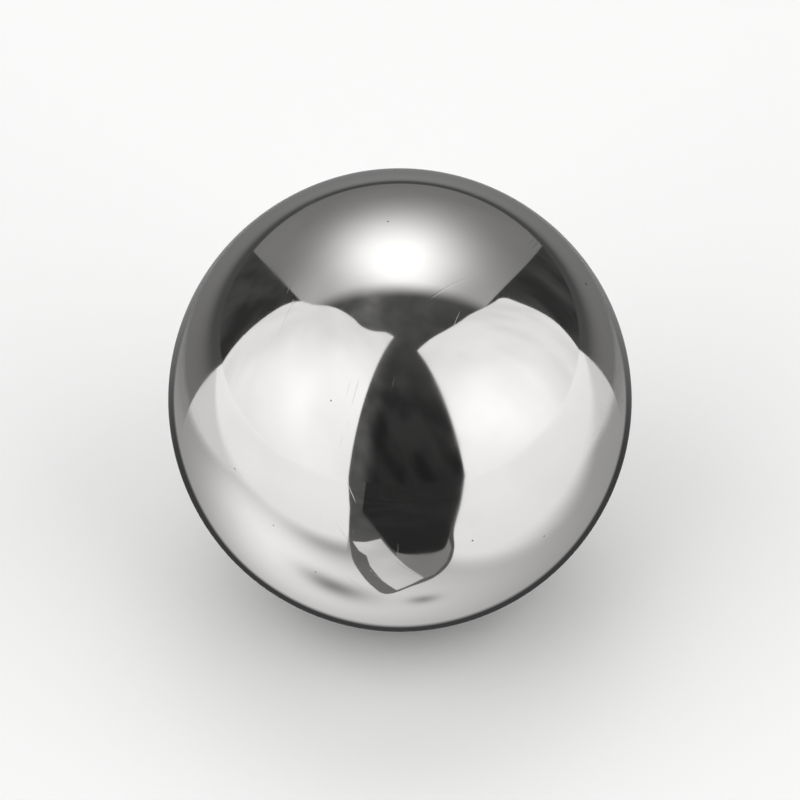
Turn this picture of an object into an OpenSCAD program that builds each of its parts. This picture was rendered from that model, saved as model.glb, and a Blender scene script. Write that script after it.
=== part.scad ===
// Solid steel ball, lapped all over to a mirror finish.
// The origin is the centre of the ball, and the ball is the same in every direction.

/* [Ball] */
// Diameter of the ball
ball_d = 12; // [3:0.5:25]

/* [Hidden] */

// Facets round the ball in a preview
ball_facets = 180;

// Bright steel, a slightly warm grey
steel = [0.63, 0.62, 0.61];

// One true sphere about the origin, with no flat, hole or seam
module ball() {
    color(steel)
        sphere(d = ball_d, $fn = ball_facets);
}

ball();
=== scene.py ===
"""Dresses the solid steel ball: a finely gridded sphere with a mirror finish, in a plain studio.

Everything is in metres, in the part's own frame: the origin is the ball's centre and +Z is up.
Azimuths run round the ball in degrees: 0 is towards the camera and 90 is to the picture's right.
"""

from __future__ import annotations

import logging
import math
from collections.abc import Sequence
from dataclasses import dataclass, replace
from enum import Enum
from typing import Any

import bpy
import numpy as np
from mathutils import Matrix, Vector
from numpy.typing import NDArray


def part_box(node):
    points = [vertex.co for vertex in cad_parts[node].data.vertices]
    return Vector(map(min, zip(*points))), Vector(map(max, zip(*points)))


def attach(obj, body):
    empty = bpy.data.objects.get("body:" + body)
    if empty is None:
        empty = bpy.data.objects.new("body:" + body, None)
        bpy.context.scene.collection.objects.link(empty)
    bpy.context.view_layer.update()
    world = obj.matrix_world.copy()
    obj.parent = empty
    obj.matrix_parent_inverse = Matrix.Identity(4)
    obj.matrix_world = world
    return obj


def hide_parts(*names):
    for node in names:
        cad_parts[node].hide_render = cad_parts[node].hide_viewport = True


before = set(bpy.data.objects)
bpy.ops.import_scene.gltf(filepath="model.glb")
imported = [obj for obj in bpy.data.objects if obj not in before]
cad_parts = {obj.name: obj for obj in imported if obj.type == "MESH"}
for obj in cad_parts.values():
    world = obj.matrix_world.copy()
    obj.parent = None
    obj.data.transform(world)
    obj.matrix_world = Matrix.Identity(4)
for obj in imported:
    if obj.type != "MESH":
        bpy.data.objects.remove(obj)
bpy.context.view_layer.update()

Array = NDArray[Any]
Pair = tuple[float, float]
Triple = tuple[float, float, float]

MM = 0.001
WHITE = (1.0, 1.0, 1.0, 1.0)

# A Mix node has sockets for numbers, vectors and colours. These are the numbers of its colours.
MIX_FIRST, MIX_SECOND, MIX_RESULT = 6, 7, 2
log = logging.getLogger("steel_ball")

# The ball's own map has a square for each side of the cube that its grid comes from. The squares
# stand in columns and rows, and each has a bare margin, as a share of the square.
MAP_NAME = "OFBake"
MAP_COLUMNS, MAP_ROWS = 3, 2
MAP_MARGIN = 0.006


def heading(azimuth: float, elevation: float = 0.0) -> Array:
    """Returns the unit vector that points away from the ball at an azimuth and an elevation.

    Args:
        azimuth: Degrees round the ball, 0 towards the camera and 90 to the picture's right.
        elevation: Degrees above the floor.

    Returns:
        The vector, as an array of three numbers.
    """
    turn, rise = math.radians(azimuth), math.radians(elevation)
    return np.array(
        [math.sin(turn) * math.cos(rise), -math.cos(turn) * math.cos(rise), math.sin(rise)]
    )


class Value:
    """A number, colour or vector that nodes work out. Arithmetic on it adds Math nodes."""

    def __init__(self, graph: Graph, socket: bpy.types.NodeSocket) -> None:
        """Wraps an output socket of a node in the graph."""
        self.graph = graph
        self.socket = socket

    def _math(self, operation: str, first: Any, second: Any) -> Value:
        """Adds one Math node, such as an ADD."""
        return self.graph.node("ShaderNodeMath", {"operation": operation}, [first, second])

    def __add__(self, other: Any) -> Value:
        """self + other"""
        return self._math("ADD", self, other)

    __radd__ = __add__

    def __sub__(self, other: Any) -> Value:
        """self - other"""
        return self._math("SUBTRACT", self, other)

    def __rsub__(self, other: Any) -> Value:
        """other - self"""
        return self._math("SUBTRACT", other, self)

    def __mul__(self, other: Any) -> Value:
        """self * other"""
        return self._math("MULTIPLY", self, other)

    __rmul__ = __mul__

    def __truediv__(self, other: Any) -> Value:
        """self / other"""
        return self._math("DIVIDE", self, other)

    def __rtruediv__(self, other: Any) -> Value:
        """other / self"""
        return self._math("DIVIDE", other, self)

    def __pow__(self, other: Any) -> Value:
        """self to the power of other"""
        return self._math("POWER", self, other)

    def __rpow__(self, other: Any) -> Value:
        """other to the power of self"""
        return self._math("POWER", other, self)

    def over(self, other: Any) -> Value:
        """The larger of self and other."""
        return self._math("MAXIMUM", self, other)


class Graph:
    """The node tree of a material or of the world."""

    def __init__(self, owner: bpy.types.Material | bpy.types.World) -> None:
        """Turns the owner's nodes on and clears them.

        Args:
            owner: The material or the world.
        """
        owner.use_nodes = True
        self.tree = owner.node_tree
        self.tree.nodes.clear()

    def node(
        self,
        kind: str,
        settings: dict[str, Any] | None = None,
        inputs: list[Any] | dict[str | int, Any] | None = None,
        output: str | int = 0,
    ) -> Value:
        """Adds a node of any kind.

        Args:
            kind: The node's type, such as ShaderNodeTexNoise.
            settings: Its own settings, which are set first.
            inputs: What goes into its sockets, in order, or by name or number: numbers,
                colours or Values.
            output: The name or number of the output that is wanted.

        Returns:
            That output.
        """
        made = self.tree.nodes.new(kind)
        for name, setting in (settings or {}).items():
            setattr(made, name, setting)
        given = inputs.items() if isinstance(inputs, dict) else enumerate(inputs or [])
        for key, entry in given:
            if isinstance(entry, Value):
                self.tree.links.new(entry.socket, made.inputs[key])
            else:
                made.inputs[key].default_value = entry
        return Value(self, made.outputs[output])

    def place(self) -> Value:
        """The point that is shaded, in Object coordinates."""
        return self.node("ShaderNodeTexCoord", output="Object")

    def moved(self, vector: Value, **changes: Any) -> Value:
        """A vector through a Mapping node, with its Location, Rotation or Scale as given."""
        return self.node("ShaderNodeMapping", {"vector_type": "POINT"}, {"Vector": vector, **changes})

    def vector_math(self, operation: str, *inputs: Any, output: str | int = 0) -> Value:
        """One Vector Math node."""
        return self.node("ShaderNodeVectorMath", {"operation": operation}, list(inputs), output)

    def length(self, vector: Value) -> Value:
        """The length of a vector."""
        return self.vector_math("LENGTH", vector, output="Value")

    def along(self, vector: Value, way: Sequence[float]) -> Value:
        """How far a vector reaches along a way, which is a unit vector."""
        return self.vector_math("DOT_PRODUCT", vector, tuple(way), output="Value")

    def part(self, vector: Value, axis: str) -> Value:
        """A vector's part on one axis: X, Y or Z."""
        return self.node("ShaderNodeSeparateXYZ", inputs=[vector], output=axis)

    def noise(self, vector: Value, size: float, detail: float, roughness: float) -> Value:
        """Works out a cloudy noise.

        Args:
            vector: Where it is read.
            size: How large its clouds are.
            detail: How many finer layers it has.
            roughness: How strong each layer is, as a share of the one before it.

        Returns:
            A number that is mostly between 0.2 and 0.8.
        """
        return self.node(
            "ShaderNodeTexNoise",
            {"noise_dimensions": "3D"},
            {"Vector": vector, "Scale": 1 / size, "Detail": detail, "Roughness": roughness},
        )

    def ease(self, value: Value, start: float, end: float, low: float = 0.0, high: float = 1.0) -> Value:
        """Goes smoothly from low at start to high at end, and stays level outside."""
        return self.node(
            "ShaderNodeMapRange",
            {"interpolation_type": "SMOOTHSTEP"},
            {"Value": value, "From Min": start, "From Max": end, "To Min": low, "To Max": high},
        )

    def blend(self, share: Value, first: Any, second: Any) -> Value:
        """A colour that goes from first to second as the share goes from 0 to 1."""
        return self.node(
            "ShaderNodeMix",
            {"data_type": "RGBA"},
            {"Factor": share, MIX_FIRST: first, MIX_SECOND: second},
            output=MIX_RESULT,
        )

    def finish(self, shader: Value, kind: str = "ShaderNodeOutputMaterial") -> None:
        """Links the shader to an output node."""
        made = self.tree.nodes.new(kind)
        self.tree.links.new(shader.socket, made.inputs["Surface"])


class Patch(Enum):
    """A side of the cube that the ball's grid comes from: its axis, and its sign along it."""

    RIGHT = (0, 1)
    BACK = (1, 1)
    TOP = (2, 1)
    LEFT = (0, -1)
    FRONT = (1, -1)
    BOTTOM = (2, -1)


def cube_grid(half_cells: int) -> tuple[Array, Array, Array]:
    """Makes the grid of a closed sphere of radius 1 from the six sides of a cube.

    Formula: each side is a square lattice of whole numbers. Every coordinate, as a share of the
    cube's half width, is taken as a share of 45 degrees and replaced by its tangent, so that the
    points lie at equal angles. They are then pushed out to length 1. Lattice points that two or
    three sides share become one point, which closes the seams, and no point is a pole.

    Args:
        half_cells: The cells from the middle of a side to its edge.

    Returns:
        The points, the four corners of each face, and the map's place of each corner.
    """
    steps = np.arange(-half_cells, half_cells + 1)
    across, up = np.meshgrid(steps, steps, indexing="ij")
    lattice = np.zeros((len(Patch), *across.shape, 3), int)
    chart = np.zeros((len(Patch), *across.shape, 2))
    for number, patch in enumerate(Patch):
        axis, sign = patch.value
        lattice[number, ..., axis] = sign * half_cells
        lattice[number, ..., (axis + 1) % 3] = sign * across
        lattice[number, ..., (axis + 2) % 3] = up
        column, row = number % MAP_COLUMNS, number // MAP_COLUMNS
        inside = MAP_MARGIN + (1 - 2 * MAP_MARGIN) * (across + half_cells) / (2 * half_cells)
        chart[number, ..., 0] = (column + inside) / MAP_COLUMNS
        inside = MAP_MARGIN + (1 - 2 * MAP_MARGIN) * (up + half_cells) / (2 * half_cells)
        chart[number, ..., 1] = (row + inside) / MAP_ROWS
    shared, index = np.unique(lattice.reshape(-1, 3), axis=0, return_inverse=True)
    points = np.tan(math.pi / 4 * shared / half_cells)
    points /= np.linalg.norm(points, axis=1, keepdims=True)
    places = np.arange(across.size * len(Patch)).reshape(len(Patch), *across.shape)
    corners = np.stack(
        [places[:, :-1, :-1], places[:, 1:, :-1], places[:, 1:, 1:], places[:, :-1, 1:]], axis=-1
    ).reshape(-1, 4)
    return points, index.reshape(-1)[corners], chart.reshape(-1, 2)[corners]


def add_mesh(name: str, points: Array, faces: Array, chart: Array | None = None) -> bpy.types.Object:
    """Puts a mesh into the scene, at the origin.

    Args:
        name: The object's name.
        points: The vertices.
        faces: A row for each face: its corners, in order as seen from outside.
        chart: The map's place of each corner, if it has a map.

    Returns:
        The object.
    """
    mesh = bpy.data.meshes.new(name)
    mesh.vertices.add(len(points))
    mesh.vertices.foreach_set("co", np.asarray(points, np.float32).ravel())
    mesh.loops.add(faces.size)
    mesh.loops.foreach_set("vertex_index", faces.astype(np.int32).ravel())
    mesh.polygons.add(len(faces))
    mesh.polygons.foreach_set("loop_start", np.arange(0, faces.size, faces.shape[1], dtype=np.int32))
    mesh.polygons.foreach_set("use_smooth", np.ones(len(faces), bool))
    if chart is not None:
        layer = mesh.uv_layers.new(name=MAP_NAME)
        layer.data.foreach_set("uv", chart.astype(np.float32).ravel())
    mesh.update(calc_edges=True)
    mesh.validate()
    made = bpy.data.objects.new(name, mesh)
    bpy.context.scene.collection.objects.link(made)
    return made


@dataclass(frozen=True)
class Specks:
    """Small round marks on a surface.

    Points are strewn through space, one to a cell, and each marks the surface where it lies
    within reach of it. So the marks have many sizes, from nothing up to twice the reach. The
    core is the share of the reach in which a mark is whole.
    """

    cell: float
    reach: float
    seed: float
    core: float = 0.55

    def mask(self, graph: Graph, place: Value) -> Value:
        """Works out where the marks are.

        Args:
            graph: The material's nodes.
            place: The point that is shaded.

        Returns:
            1 in the middle of a mark and 0 off the marks, with a soft edge.
        """
        shifted = graph.moved(place, Location=(self.seed, -self.seed, 2 * self.seed))
        distance = graph.node(
            "ShaderNodeTexVoronoi",
            {"feature": "F1", "voronoi_dimensions": "3D"},
            {"Vector": shifted, "Scale": 1 / self.cell, "Randomness": 1.0},
            output="Distance",
        )
        return graph.ease(distance, self.reach / self.cell, self.core * self.reach / self.cell)


@dataclass(frozen=True)
class Hairlines:
    """Fine scratches in one direction: noise that is drawn out along two axes and thin across.

    Share is the noise from which a scratch shows and soft is what it takes to be whole. Facing
    is how squarely the surface faces the thin axis where scratches are gone, and where whole.
    """

    turn: Triple
    width: float
    length: float
    share: float
    soft: float = 0.05
    facing: Pair = (0.85, 0.5)

    def mask(self, graph: Graph, place: Value) -> Value:
        """Works out where the scratches are.

        Args:
            graph: The material's nodes.
            place: The point that is shaded.

        Returns:
            1 on a scratch and 0 off it, faded out where the surface faces the thin axis.
        """
        turned = graph.moved(place, Rotation=tuple(math.radians(a) for a in self.turn))
        drawn_out = graph.moved(turned, Scale=(1 / self.width, 1 / self.length, 1 / self.length))
        noise = graph.noise(drawn_out, size=1.0, detail=1.0, roughness=0.5)
        squarely = (graph.part(turned, "X") / graph.length(turned)) ** 2
        return graph.ease(noise, self.share, self.share + self.soft) * graph.ease(squarely, *self.facing)


@dataclass(frozen=True)
class PolishedSteel:
    """Bare steel lapped to a mirror finish, with pits, dust, hairlines and handling haze."""

    slot: str = "polished_steel"
    color: Triple = (0.630, 0.620, 0.610)
    edge_tint: Triple = (0.72, 0.72, 0.72)
    roughness: float = 0.045

    stain: Triple = (0.560, 0.548, 0.535)
    haze_size: float = 3.2 * MM
    haze_noise: Pair = (0.46, 0.66)
    haze_share: float = 0.35
    haze_roughness: float = 0.045

    pit: Triple = (0.060, 0.055, 0.050)
    pit_depth: float = 0.012 * MM
    pit_roughness: float = 0.30
    pits: Specks = Specks(cell=2.30 * MM, reach=0.060 * MM, seed=0.0131)
    small_pits: Specks = Specks(cell=0.95 * MM, reach=0.030 * MM, seed=0.0472)
    small_pit_share: float = 0.8

    mote: Triple = (0.800, 0.790, 0.770)
    mote_roughness: float = 0.55
    motes: Specks = Specks(cell=2.60 * MM, reach=0.040 * MM, seed=0.0897)

    hairlines: tuple[Hairlines, Hairlines] = (
        Hairlines(turn=(12, 34, 51), width=0.055 * MM, length=2.8 * MM, share=0.73),
        Hairlines(turn=(71, -22, 8), width=0.050 * MM, length=2.2 * MM, share=0.74),
    )
    line_share: float = 0.12
    line_roughness: float = 0.022
    line_depth_share: float = 0.04

    def build(self) -> bpy.types.Material:
        """Makes the material.

        Formula: haze and hairlines stain the steel by their shares, pits and motes cover it with
        colours of their own, each adds its own roughness, and pits and hairlines are sunk.

        Returns:
            The material, whose patterns all read Object coordinates.
        """
        material = bpy.data.materials.new(self.slot)
        graph = Graph(material)
        place = graph.place()
        haze = graph.ease(graph.noise(place, self.haze_size, detail=3.0, roughness=0.55), *self.haze_noise)
        pits = self.pits.mask(graph, place).over(self.small_pits.mask(graph, place) * self.small_pit_share)
        motes = self.motes.mask(graph, place)
        lines = self.hairlines[0].mask(graph, place).over(self.hairlines[1].mask(graph, place))

        tone = graph.blend(haze * self.haze_share, (*self.color, 1), (*self.stain, 1))
        tone = graph.blend(lines * self.line_share, tone, (*self.stain, 1))
        tone = graph.blend(pits, tone, (*self.pit, 1))
        tone = graph.blend(motes, tone, (*self.mote, 1))
        rough = haze * self.haze_roughness + lines * self.line_roughness + self.roughness
        rough = rough + pits * self.pit_roughness + motes * self.mote_roughness
        bump = graph.node(
            "ShaderNodeBump",
            inputs={
                "Strength": 1.0,
                "Distance": self.pit_depth,
                "Height": 0.0 - pits - lines * self.line_depth_share,
            },
            output="Normal",
        )
        shader = graph.node(
            "ShaderNodeBsdfPrincipled",
            inputs={
                "Base Color": tone,
                "Metallic": 1.0,
                "Roughness": rough,
                "Specular Tint": (*self.edge_tint, 1),
                "Normal": bump,
            },
        )
        graph.finish(shader)
        return material


@dataclass
class SteelBall:
    """The ball itself: one piece, a sphere with the faint waviness that lapping leaves."""

    radius: float
    half_cells: int = 64
    waves: int = 14
    wave_numbers: Pair = (5.0, 15.0)
    wave_slope: float = 0.0016
    seed: int = 26

    def waviness(self, points: Array) -> Array:
        """Works out how far the surface stands off the true sphere.

        Formula: a sum of plane waves, each the cosine of a wave vector times the point plus a
        phase. All have the same steepness, so a wave's height is its steepness times the radius
        over its wave number.

        Args:
            points: Points of the unit sphere.

        Returns:
            The height of each point over the sphere, in metres.
        """
        random = np.random.default_rng(self.seed)
        along = random.normal(size=(self.waves, 3))
        along /= np.linalg.norm(along, axis=1, keepdims=True)
        number = random.uniform(*self.wave_numbers, self.waves)
        phase = random.uniform(0, 2 * math.pi, self.waves)
        height = self.wave_slope * self.radius / number
        return np.cos(points @ (along * number[:, None]).T + phase) @ height

    def build(self) -> bpy.types.Object:
        """Makes the ball's mesh.

        Formula: each direction of the cube grid times the radius, less the greatest wave height
        so that nothing stands out of the true sphere, plus the waviness at that point.

        Returns:
            The piece.
        """
        points, faces, chart = cube_grid(self.half_cells)
        height = self.waviness(points)
        reach = self.radius + height - height.max()
        return add_mesh("steel_ball", points * reach[:, None], faces, chart)

    def dress(self, piece: bpy.types.Object, finish: PolishedSteel) -> None:
        """Gives the piece its finish, sets it on the root body, and hides the CAD ball that it stands in
        for.

        Args:
            piece: The ball's mesh object.
            finish: The steel.
        """
        piece.data.materials.append(finish.build())
        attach(piece, "root")
        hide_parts("ball")


def curve(points: Array, steps: int = 10) -> Array:
    """Draws a smooth curve through points, from the first to the last.

    Formula: between points b and c, whose neighbours are a and d, the place at share s is half
    of 2 b + (c - a) s + (2 a - 5 b + 4 c - d) s squared + (3 b - a - 3 c + d) s cubed. The two
    ends count as their own neighbours.

    Args:
        points: A row for each point.
        steps: The short lines between one point and the next.

    Returns:
        The points of the curve.
    """
    before, after = np.vstack([points[:1], points[:-2]]), np.vstack([points[2:], points[-1:]])
    a, b, c, d = (rows[:, None] for rows in (before, points[:-1], points[1:], after))
    s = np.linspace(0, 1, steps, endpoint=False)[None, :, None]
    drawn = (2 * b + (c - a) * s + (2 * a - 5 * b + 4 * c - d) * s**2 + (3 * b - a - 3 * c + d) * s**3) / 2
    return np.vstack([drawn.reshape(-1, points.shape[1]), points[-1:]])


def ring(inner: float, outer: float, start: float = 0.0, end: float = 360.0, corners: int = 73) -> Array:
    """Draws a flat ring, or a part of one, round the ball's foot.

    Formula: the headings from the azimuth start to the azimuth end times the inner radius, and
    back again times the outer radius.

    Args:
        inner: Its inner radius.
        outer: Its outer radius.
        start: The azimuth where it starts.
        end: The azimuth where it ends.
        corners: The corners on each of its two edges.

    Returns:
        The places of its corners on the floor, in order.
    """
    ways = np.array([heading(azimuth)[:2] for azimuth in np.linspace(start, end, corners)])
    return np.concatenate([ways * inner, ways[::-1] * outer])


class SeenBy(Enum):
    """The rays that a thing in the studio shows to."""

    ALL_BUT_CAMERA = "all but the camera"
    REFLECTIONS = "reflections alone"


@dataclass(frozen=True)
class Hem:
    """A soft edge, across which a sheet thins out to nothing."""

    at: Triple
    way: Triple
    width: float

    def cover(self, graph: Graph, place: Value) -> Value:
        """How much of the sheet is there: 0 at the hem, and 1 past its width along the way in."""
        past = graph.vector_math("SUBTRACT", place, self.at)
        return graph.ease(graph.along(past, self.way), 0.0, self.width)


@dataclass(frozen=True)
class RoundHem:
    """A soft edge round the ball's foot, across which a sheet goes from nothing to whole.

    Formula: a point's reach is its distance from the foot along the floor, plus lean times how
    far it lies towards the camera. So an even reach draws an ellipse with the foot as a focus.
    """

    start: float
    end: float
    lean: float = 0.0

    def cover(self, graph: Graph, place: Value) -> Value:
        """Works out how much of the sheet is there.

        Args:
            graph: The material's nodes.
            place: The point that is shaded.

        Returns:
            0 at the reach called start, and 1 at the one called end.
        """
        flat = graph.vector_math("MULTIPLY", place, (1.0, 1.0, 0.0))
        reach = graph.length(flat) + graph.along(flat, heading(0.0)) * self.lean
        return graph.ease(reach, self.start, self.end)


@dataclass(frozen=True)
class Spot:
    """A soft bright place on a sheet: how bright, where, and how large along each axis.

    Where level is less than 0 it is a dark place.
    """

    level: float
    at: Triple
    size: Triple

    def light(self, graph: Graph, place: Value) -> Value:
        """Works out the light of the spot.

        Formula: level times e to the minus square of the distance from the spot's middle,
        measured in size along each axis.

        Args:
            graph: The material's nodes.
            place: The point that is shaded.

        Returns:
            The light, which is level in the middle.
        """
        away = graph.vector_math("SUBTRACT", place, self.at)
        distance = graph.length(graph.vector_math("DIVIDE", away, self.size))
        return math.e ** (distance**2 * -1.0) * self.level


@dataclass(frozen=True)
class Folds:
    """Soft folds in a cloth: how much they change its light, how wide they are and their lean."""

    depth: float = 0.0
    width: float = 0.4
    turn: float = 35.0
    slimness: float = 0.3
    noise: Pair = (0.30, 0.70)

    def factor(self, graph: Graph, place: Value) -> Value:
        """Works out what the folds multiply the light by.

        Formula: a noise that is drawn out along the folds, eased to go from 1 - depth to
        1 + depth.

        Args:
            graph: The material's nodes.
            place: Where the noise is read.

        Returns:
            The factor.
        """
        turned = graph.moved(place, Rotation=(0.0, math.radians(self.turn), 0.0))
        drawn_out = graph.moved(turned, Scale=(1.0, 1.0, self.slimness))
        noise = graph.noise(drawn_out, self.width, detail=2.0, roughness=0.4)
        return graph.ease(noise, *self.noise, 1 - self.depth, 1 + self.depth)


@dataclass(frozen=True)
class Glow:
    """Light through or off a white cloth: an even level, soft bright spots and soft folds."""

    level: float
    spots: tuple[Spot, ...] = ()
    folds: Folds = Folds()

    def light(self, graph: Graph, place: Value) -> Value:
        """The light that leaves a place: the level plus the spots, times the folds' factor."""
        return self.folds.factor(graph, place) * sum((s.light(graph, place) for s in self.spots), self.level)


@dataclass(frozen=True)
class StudioSheet:
    """A flat sheet that gives light, on both of its faces.

    Its corners, in order, its light and its hems are all in its own unit of length, in metres.
    """

    name: str
    corners: Array
    glow: Glow
    hems: tuple[Hem | RoundHem, ...] = ()
    seen_by: SeenBy = SeenBy.ALL_BUT_CAMERA
    unit: float = 1.0

    def cloth(self) -> bpy.types.Material:
        """Makes its material.

        Formula: the glow's light, mixed with nothing at each hem by how much of the sheet is
        there.

        Returns:
            The material.
        """
        material = bpy.data.materials.new(self.name)
        graph = Graph(material)
        place = graph.moved(graph.place(), Scale=(1 / self.unit,) * 3)
        shader = graph.node(
            "ShaderNodeEmission", inputs={"Color": self.glow.light(graph, place), "Strength": 1.0}
        )
        for hem in self.hems:
            nothing = graph.node("ShaderNodeBsdfTransparent", inputs={"Color": WHITE})
            shader = graph.node("ShaderNodeMixShader", inputs=[hem.cover(graph, place), nothing, shader])
        graph.finish(shader)
        return material

    def build(self) -> bpy.types.Object:
        """Makes the sheet as one flat face.

        Returns:
            The sheet.
        """
        made = add_mesh(self.name, self.corners * self.unit, np.arange(len(self.corners))[None])
        made.data.materials.append(self.cloth())
        made.visible_camera = False
        if self.seen_by is SeenBy.REFLECTIONS:
            made.visible_diffuse = made.visible_shadow = made.visible_transmission = False
        return made


@dataclass(frozen=True)
class Room:
    """The dark room: dim beside the left panel, dark past the azimuth split, greyer at the back.

    The blur at the split is in degrees. Strip holds how far past the split the dim part starts
    and is whole, top the heights between which it turns by top_turn, and fade how far along the
    azimuth front the room is as grey as behind, and as dark as in front.
    """

    dim: float = 0.115
    dark: float = 0.034
    behind: float = 0.064
    split: float = -16.0
    blur: float = 5.0
    strip: Pair = (-0.45, -0.25)
    top: Pair = (0.960, 0.995)
    top_turn: float = 0.14
    front: float = 10.0
    fade: Pair = (-0.30, 0.10)
    rise: float = 0.070
    folds: Folds = Folds(depth=0.38, width=0.16, turn=20.0)

    def light(self, graph: Graph) -> Value:
        """Works out the light that comes from each direction.

        Formula: the split is an upright plane through the ball's centre. The sine of the angle
        past it says which side a direction is on, and near the zenith top_turn is added to it.
        The level of that side is multiplied by the folds of the dark cloth, and rise times the
        fourth power of the sine of the elevation is added.

        Args:
            graph: The world's nodes.

        Returns:
            The light.
        """
        ray = graph.vector_math("NORMALIZE", graph.place())
        height = graph.part(ray, "Z")
        past = graph.along(ray, heading(self.split + 90)) + graph.ease(height, *self.top) * self.top_turn
        reach = math.sin(math.radians(self.blur))
        strip = graph.ease(past, reach, -reach) * graph.ease(past, *self.strip)
        forward = graph.along(ray, heading(self.front))
        level = strip * (self.dim - self.dark) + graph.ease(forward, *self.fade, self.behind, self.dark)
        return height.over(0.0) ** 4 * self.rise + level * self.folds.factor(graph, ray)

    def build(self) -> None:
        """Makes the room, as the scene's world."""
        world = bpy.data.worlds.new("studio_room")
        graph = Graph(world)
        shader = graph.node("ShaderNodeBackground", inputs={"Color": self.light(graph), "Strength": 1.0})
        graph.finish(shader, "ShaderNodeOutputWorld")
        bpy.context.scene.world = world


@dataclass(frozen=True)
class Scrim:
    """The large glowing cloth that leans over the ball from behind, brightest in its middle as if a lamp
    stood behind it.

    All but half_width is in half widths. Its sides, which aren't quite parallel, catch some
    light from the panels, and it thins out at its front edge.
    """

    half_width: float = 2.15
    back: Triple = (0.0, 1.54, 0.0)
    back_ends: Pair = (-1.02, 0.955)
    front: Triple = (0.0, 0.08, 1.424)
    front_ends: Pair = (-1.12, 1.02)
    hem_inset: float = 0.05
    hem_width: float = 0.28
    glow: Glow = Glow(
        level=0.27,
        spots=(
            Spot(1.60, at=(0.0, 0.50, 1.025), size=(0.48, 0.56, 0.56)),
            Spot(0.30, at=(-1.0, 0.33, 1.18), size=(0.50, 0.45, 0.45)),
            Spot(0.20, at=(1.0, 0.33, 1.18), size=(0.50, 0.45, 0.45)),
        ),
        folds=Folds(depth=0.04, width=0.53),
    )

    def sheet(self) -> StudioSheet:
        """Works out its four corners and its hem.

        Returns:
            The sheet.
        """
        back, front, side = (np.array(p) for p in (self.back, self.front, (1.0, 0.0, 0.0)))
        way = (back - front) / np.linalg.norm(back - front)
        corners = [back + end * side for end in self.back_ends]
        corners += [front + end * side for end in reversed(self.front_ends)]
        hem = Hem(tuple(front + self.hem_inset * way), tuple(way), self.hem_width)
        return StudioSheet("overhead_scrim", np.array(corners), self.glow, (hem,), unit=self.half_width)


@dataclass(frozen=True)
class Panel:
    """A white cloth that hangs upright and faces the ball.

    The hem's points, from the near side's top to the far side's foot, near_side and bow are in
    distances: across, along the level line through the cloth's nearest point, and up.
    """

    name: str
    azimuth: float
    distance: float
    near_side: float
    bow: float
    hem: tuple[Pair, ...]
    glow: Glow
    steps: int = 39

    def end(self) -> float:
        """The azimuth of its far side's foot."""
        return self.azimuth + math.degrees(math.atan(self.hem[-1][0]))

    def sheet(self, floor: float) -> StudioSheet:
        """Works out its outline, with a near side that bows and a hem that hangs unevenly.

        Formula: on the near side the place across is near_side plus bow times the square of the
        height. The rest is the smooth curve through the hem's points.

        Args:
            floor: The floor's height over the ball's centre, in metres.

        Returns:
            The sheet.
        """
        foot = floor / self.distance
        rise = np.linspace(foot, self.hem[0][1], self.steps, endpoint=False)
        near = np.stack([self.near_side + self.bow * rise**2, rise], axis=1)
        flat = np.concatenate([near, curve(np.array(self.hem)), [(self.hem[-1][0], foot)]])
        plane = np.stack([heading(self.azimuth + 90), heading(0.0, 90.0)])
        return StudioSheet(self.name, self.distance * (heading(self.azimuth) + flat @ plane), self.glow)


@dataclass(frozen=True)
class Bounce:
    """The white card on the floor before a panel, which carries it on in reflections.

    It is a part of a ring round the ball. Each hem, where it thins out on its near side, is a
    line square to an azimuth, given as the azimuth, its distance and its width. Inner, lift and
    the hems' distances and widths are in ball radii, and the rest is in metres.
    """

    name: str
    hems: tuple[Triple, ...]
    glow: Glow
    inner: float = 1.2
    far: float = 1.5
    lift: float = 0.01

    def sheet(self, ball_radius: float, start: float, end: float) -> StudioSheet:
        """Works out the part of the ring between two azimuths.

        Args:
            ball_radius: The ball's radius.
            start: The azimuth of its first side.
            end: The azimuth of its last side.

        Returns:
            The sheet.
        """
        outline = ring(self.inner * ball_radius, self.far, start, end, corners=20)
        corners = np.column_stack([outline, np.full(len(outline), (self.lift - 1) * ball_radius)])
        hems = tuple(
            Hem(
                at=tuple(heading(azimuth) * distance * ball_radius),
                way=tuple(heading(azimuth)),
                width=width * ball_radius,
            )
            for azimuth, distance, width in self.hems
        )
        return StudioSheet(self.name, corners, self.glow, hems, SeenBy.REFLECTIONS)


@dataclass(frozen=True)
class GapCard:
    """A card on the floor in the gap between the panels.

    Edge is the part of its outline that the ball mirrors close by. A card with sides goes on to
    the floor's front. Each side, left and right, holds its place across at the distance called
    bend, and the share of the distance that its place across is at the floor's front.
    """

    name: str
    level: float
    edge: tuple[Pair, ...]
    sides: tuple[Pair, Pair] | None = None
    spot_level: float = 0.0
    bend: float = 10.0

    def outline(self, far: float) -> Array:
        """Works out its outline.

        Formula: the edge's points alone, or with sides the smooth curve through them, and from
        each end of it straight lines to the bend and to the floor's front.

        Args:
            far: How far away the floor's front is.

        Returns:
            The places of its corners on the floor, in order.
        """
        if self.sides is None:
            return np.array(self.edge)
        (left, left_share), (right, right_share) = self.sides
        before = [(left_share * far, -far), (left, -self.bend)]
        after = [(right, -self.bend), (right_share * far, -far)]
        return np.concatenate([before, curve(np.array(self.edge)), after])


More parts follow.
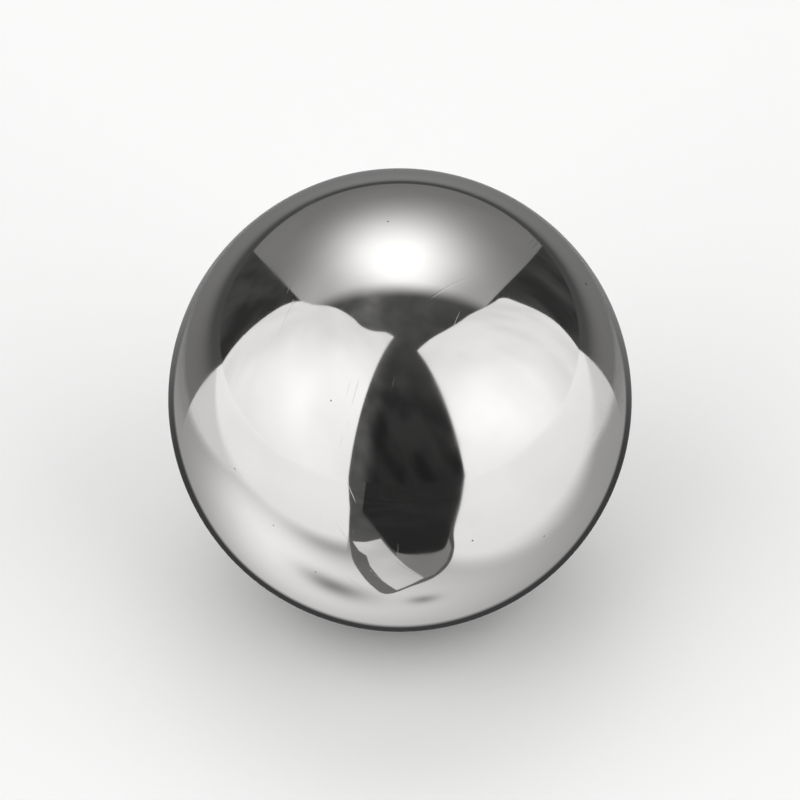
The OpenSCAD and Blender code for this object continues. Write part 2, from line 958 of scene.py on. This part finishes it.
@dataclass
class Studio:
    """The plain studio: a pale floor, a scrim overhead, a panel on each side and a dark room.

    On the floor lie cards that only reflections show. The gap cards are in the order in which
    they lie on each other: a wide dim one carries the gap on, and on it lie a grey one at its
    near end, a dark one, and a pale strip across both, which leave a thin dim line along the dim
    card's near edge. Places on the floor, and sizes there, are in ball radii.
    """

    ball_radius: float
    floor_color: Triple = (0.90, 0.90, 0.895)
    floor_half_width: float = 4.0
    fill_level: float = 0.42
    fill_width: float = 1.0
    fill_height: float = 0.45
    room: Room = Room()
    scrim: Scrim = Scrim()
    left: Panel = Panel(
        name="left_panel",
        azimuth=-33.0,
        distance=0.55,
        near_side=0.152,
        bow=0.018,
        hem=(
            (0.40, 3.71), (0.11, 3.76), (-0.24, 3.26), (-0.60, 3.22), (-1.07, 3.68), (-1.66, 4.08),
            (-2.10, 4.27), (-2.58, 4.24), (-3.08, 3.93), (-3.70, 4.06), (-4.30, 4.22), (-4.70, 3.90),
            (-4.62, 3.20), (-4.30, 2.45), (-3.98, 1.72), (-3.75, 1.10), (-3.60, 0.50), (-3.50, 0.05),
        ),
        glow=Glow(
            level=1.12,
            spots=(Spot(0.40, at=tuple(heading(-60, 32) * 0.70), size=(0.6, 0.6, 0.55)),),
            folds=Folds(depth=0.05),
        ),
    )
    right: Panel = Panel(
        name="right_panel",
        azimuth=42.0,
        distance=0.60,
        near_side=-0.213,
        bow=-0.034,
        hem=(
            (-0.408, 2.395), (-0.25, 2.47), (0.05, 2.52), (0.40, 2.47), (0.80, 2.46), (1.25, 2.55),
            (1.85, 2.56), (2.40, 2.66), (2.85, 2.78), (3.05, 2.60), (2.95, 2.05), (2.95, 1.52),
            (2.98, 0.90), (2.90, 0.40), (2.82, 0.05),
        ),
        glow=Glow(
            level=1.10,
            spots=(Spot(0.42, at=tuple(heading(58, 22) * 0.66), size=(0.6, 0.6, 0.45)),),
            folds=Folds(depth=0.07),
        ),
    )
    left_bounce: Bounce = Bounce(
        name="left_bounce",
        hems=((-23.0, 2.0, 0.75),),
        glow=Glow(
            level=1.23,
            spots=(
                Spot(0.16, at=tuple(heading(-60) * 0.62), size=(0.42, 0.42, 1.0)),
                # Painted shade: a dark place round the ball's foot, where the floor lies in the ball's
                # shadow.
                Spot(-0.14, at=(0.0, 0.0, 0.0), size=(0.02, 0.02, 1.0)),
            ),
        ),
    )
    right_bounce: Bounce = Bounce(
        name="right_bounce",
        hems=((54.0, 1.28, 0.5), (26.0, 1.05, 0.9)),
        glow=Glow(
            level=1.23,
            spots=(
                Spot(0.16, at=tuple(heading(58) * 0.61), size=(0.42, 0.42, 1.0)),
                # Painted shade: a dark place round the ball's foot, where the floor lies in the ball's
                # shadow.
                Spot(-0.14, at=(0.0, 0.0, 0.0), size=(0.02, 0.02, 1.0)),
            ),
        ),
    )
    bounce_ends: Pair = (-20.0, 17.0)
    gap_cards: tuple[GapCard, ...] = (
        GapCard(
            name="dim_card",
            level=0.115,
            edge=(
                (-1.92, -5.0), (-1.25, -3.37), (-0.90, -2.53), (-0.71, -2.11), (-0.57, -1.81),
                (-0.40, -1.55), (-0.25, -1.35), (-0.11, -1.23), (0.10, -1.38), (0.36, -1.52),
                (0.58, -1.74), (0.78, -2.10), (1.17, -3.0), (2.33, -5.0),
            ),
            sides=((-4.18, -0.4526), (5.21, 0.577)),
            spot_level=0.09,
        ),
        GapCard(
            name="grey_card",
            level=0.34,
            edge=(
                (-0.05, -2.5), (-0.05, -1.50), (0.20, -1.50), (0.35, -1.56), (0.55, -1.77),
                (0.745, -2.12), (0.84, -2.5),
            ),
        ),
        GapCard(
            name="dark_card",
            level=0.034,
            edge=(
                (-1.40, -5.0), (-0.76, -3.7), (-0.36, -2.9), (-0.10, -2.32), (0.06, -2.18),
                (0.30, -2.13), (0.55, -2.12), (0.72, -2.28), (1.08, -3.0), (2.20, -5.0),
            ),
            sides=((-2.83, -0.287), (5.0, 0.565)),
        ),
        GapCard(
            name="pale_strip",
            level=0.84,
            edge=(
                (-0.78, -2.40), (-0.58, -2.49), (-0.35, -2.76), (-0.06, -2.12), (0.09, -1.80),
                (0.24, -1.53), (0.09, -1.41), (-0.03, -1.31), (-0.17, -1.48), (-0.34, -1.76),
                (-0.44, -2.02), (-0.58, -2.12),
            ),
        ),
    )
    gap_height: float = 0.015
    gap_step: float = 0.003
    gap_spot: Spot = Spot(1.0, at=(-0.3, -1.5, -1.0), size=(1.0, 0.9, 1.0))
    gap_folds: Folds = Folds(depth=0.16, width=1.1)

    def floor(self) -> bpy.types.Object:
        """Makes the pale floor that touches the ball from below.

        Returns:
            The floor.
        """
        w, z = self.floor_half_width, -self.ball_radius
        corners = np.array([[-w, -w, z], [w, -w, z], [w, w, z], [-w, w, z]])
        made = add_mesh("floor", corners, np.array([[0, 1, 2, 3]]))
        material = bpy.data.materials.new("pale_floor")
        graph = Graph(material)
        graph.finish(graph.node("ShaderNodeBsdfDiffuse", inputs={"Color": (*self.floor_color, 1)}))
        made.data.materials.append(material)
        return made

    def fill(self) -> bpy.types.Object:
        """Hangs a soft lamp over the ball that lights the floor and stays out of reflections.

        Formula: the power of an even square lamp is pi times its level times its area.

        Returns:
            The lamp.
        """
        lamp = bpy.data.lights.new("floor_fill", "AREA")
        lamp.size = self.fill_width
        lamp.energy = self.fill_level * math.pi * self.fill_width**2
        made = bpy.data.objects.new("floor_fill", lamp)
        made.location.z = self.fill_height
        made.visible_camera = made.visible_glossy = False
        bpy.context.scene.collection.objects.link(made)
        return made

    def card(
        self,
        name: str,
        outline: Array,
        height: float,
        glow: Glow,
        hems: tuple[Hem | RoundHem, ...] = (),
    ) -> StudioSheet:
        """Lays a card on the floor that only reflections show, all in ball radii.

        Args:
            name: The card's name.
            outline: The places of its corners on the floor.
            height: How far over the floor it lies.
            glow: Its light.
            hems: Its soft edges.

        Returns:
            The card.
        """
        corners = np.column_stack([outline, np.full(len(outline), height - 1)])
        return StudioSheet(name, corners, glow, hems, SeenBy.REFLECTIONS, self.ball_radius)

    def gap_sheets(self) -> list[StudioSheet]:
        """Lays the gap cards, each a step higher than the one before it.

        Returns:
            The cards, from the lowest up.
        """
        far = self.floor_half_width / self.ball_radius
        sheets = []
        for number, card in enumerate(self.gap_cards):
            glow = Glow(card.level, (replace(self.gap_spot, level=card.spot_level),), self.gap_folds)
            height = self.gap_height + self.gap_step * number
            sheets.append(self.card(card.name, card.outline(far), height, glow))
        return sheets

    def foot_ring(self) -> StudioSheet:
        """Lays the pale card round the ball's foot, brighter on the picture's left.

        It stands in for light that the real floor throws under the ball, with two soft shadows
        just before the foot and a wider one farther out, and thins out at both edges.

        Returns:
            The card.
        """
        bright = Spot(0.80, at=(-1.3, -1.1, -1.0), size=(1.8, 0.85, 1.0))
        long_shadow = Spot(-0.80, at=(-0.55, -1.13, -1.0), size=(0.33, 0.15, 1.0))
        short_shadow = Spot(-0.48, at=(0.17, -1.12, -1.0), size=(0.12, 0.07, 1.0))
        wide_shadow = Spot(-0.34, at=(-1.15, -2.0, -1.0), size=(0.70, 0.32, 1.0))
        glow = Glow(level=0.52, spots=(bright, long_shadow, short_shadow, wide_shadow))
        hems = (RoundHem(start=0.2, end=0.5), RoundHem(start=3.5, end=2.7))
        outline = ring(inner=0.35, outer=3.6)
        return self.card("foot_ring", outline, height=0.008, glow=glow, hems=hems)

    def foot_shade(self) -> StudioSheet:
        """Lays the dark card under and behind the ball, a painted shadow that draws the line along its
        outline.

        It covers the floor that the outermost fiftieth of the ball mirrors to the camera, and
        thins out towards the back.

        Returns:
            The card.
        """
        side, front, back = 2.6, -0.8, 3.6
        outline = np.array([(-side, front), (side, front), (side, back), (-side, back)])
        # Painted shadow: this dark glow stands in for the ball's shadow on the floor, and only reflections
        # show it.
        glow = Glow(level=0.07)
        near_edge = RoundHem(start=1.30, end=1.12, lean=0.84)
        back_edge = Hem(at=(0.0, 3.2, -1.0), way=(0.0, -1.0, 0.0), width=2.8)
        return self.card("foot_shade", outline, height=0.016, glow=glow, hems=(near_edge, back_edge))

    def far_flag(self) -> StudioSheet:
        """Lays the dark card round the back of the ball, which darkens its outline.

        It is a ring from near the ball out to past the floor's corners, between the two panels'
        far ends by way of the back.

        Returns:
            The card.
        """
        far = 1.5 * self.floor_half_width / self.ball_radius
        start, end = self.right.end(), 360 + self.left.end()
        outline = ring(inner=2.0, outer=far, start=start, end=end, corners=60)
        glow = Glow(level=0.10, spots=(Spot(0.26, at=(0.0, 11.0, -1.0), size=(8.0, 16.0, 1.0)),))
        near_edge = RoundHem(start=1.96, end=3.67)
        return self.card("far_flag", outline, height=0.015, glow=glow, hems=(near_edge,))

    def sheets(self) -> list[StudioSheet]:
        """All that gives light but the room and the lamp."""
        left_end, right_end = self.bounce_ends
        return [
            self.scrim.sheet(),
            self.left.sheet(-self.ball_radius),
            self.right.sheet(-self.ball_radius),
            self.foot_ring(),
            self.foot_shade(),
            self.left_bounce.sheet(self.ball_radius, self.left.end(), left_end),
            self.right_bounce.sheet(self.ball_radius, right_end, self.right.end()),
            *self.gap_sheets(),
            self.far_flag(),
        ]

    def build(self) -> None:
        """Makes the whole studio."""
        self.room.build()
        self.floor()
        self.fill()
        for sheet in self.sheets():
            sheet.build()
            log.info("studio: %s, seen by %s", sheet.name, sheet.seen_by.value)


@dataclass
class Viewpoint:
    """The camera, at the photograph's angle and distance, with the ball large in the frame."""

    ball_diameter: float
    elevation: float = 42.5
    distance_in_balls: float = 36.0
    ball_share: float = 0.58

    def build(self) -> bpy.types.Object:
        """Makes the camera.

        Formula: half the view's width at the ball is the ball's radius over its share of the
        picture. The lens is to half the sensor as the distance is to that.

        Returns:
            The camera, which looks at the ball's centre through a long lens.
        """
        camera = bpy.data.objects.new("camera", bpy.data.cameras.new("camera"))
        bpy.context.scene.collection.objects.link(camera)
        distance = self.distance_in_balls * self.ball_diameter
        away = Vector(heading(0, self.elevation))
        half_view = self.ball_diameter / 2 / self.ball_share
        camera.data.lens = camera.data.sensor_width / 2 * distance / half_view
        camera.location = away * distance
        camera.rotation_euler = (-away).to_track_quat("-Z", "Y").to_euler()
        bpy.context.scene.camera = camera
        return camera


def main() -> None:
    """Builds the camera, the ball and the studio."""
    logging.basicConfig(level=logging.INFO, format="%(name)s: %(message)s")
    low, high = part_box("ball")
    diameter = high.z - low.z
    camera = Viewpoint(diameter).build()
    log.info("camera: lens %.0f mm", camera.data.lens)
    ball = SteelBall(diameter / 2)
    piece = ball.build()
    ball.dress(piece, PolishedSteel())
    log.info("%s: %d faces", piece.name, len(piece.data.polygons))
    Studio(ball.radius).build()
    bpy.context.scene.view_settings.view_transform = "Standard"


if __name__ == "__main__":
    main()
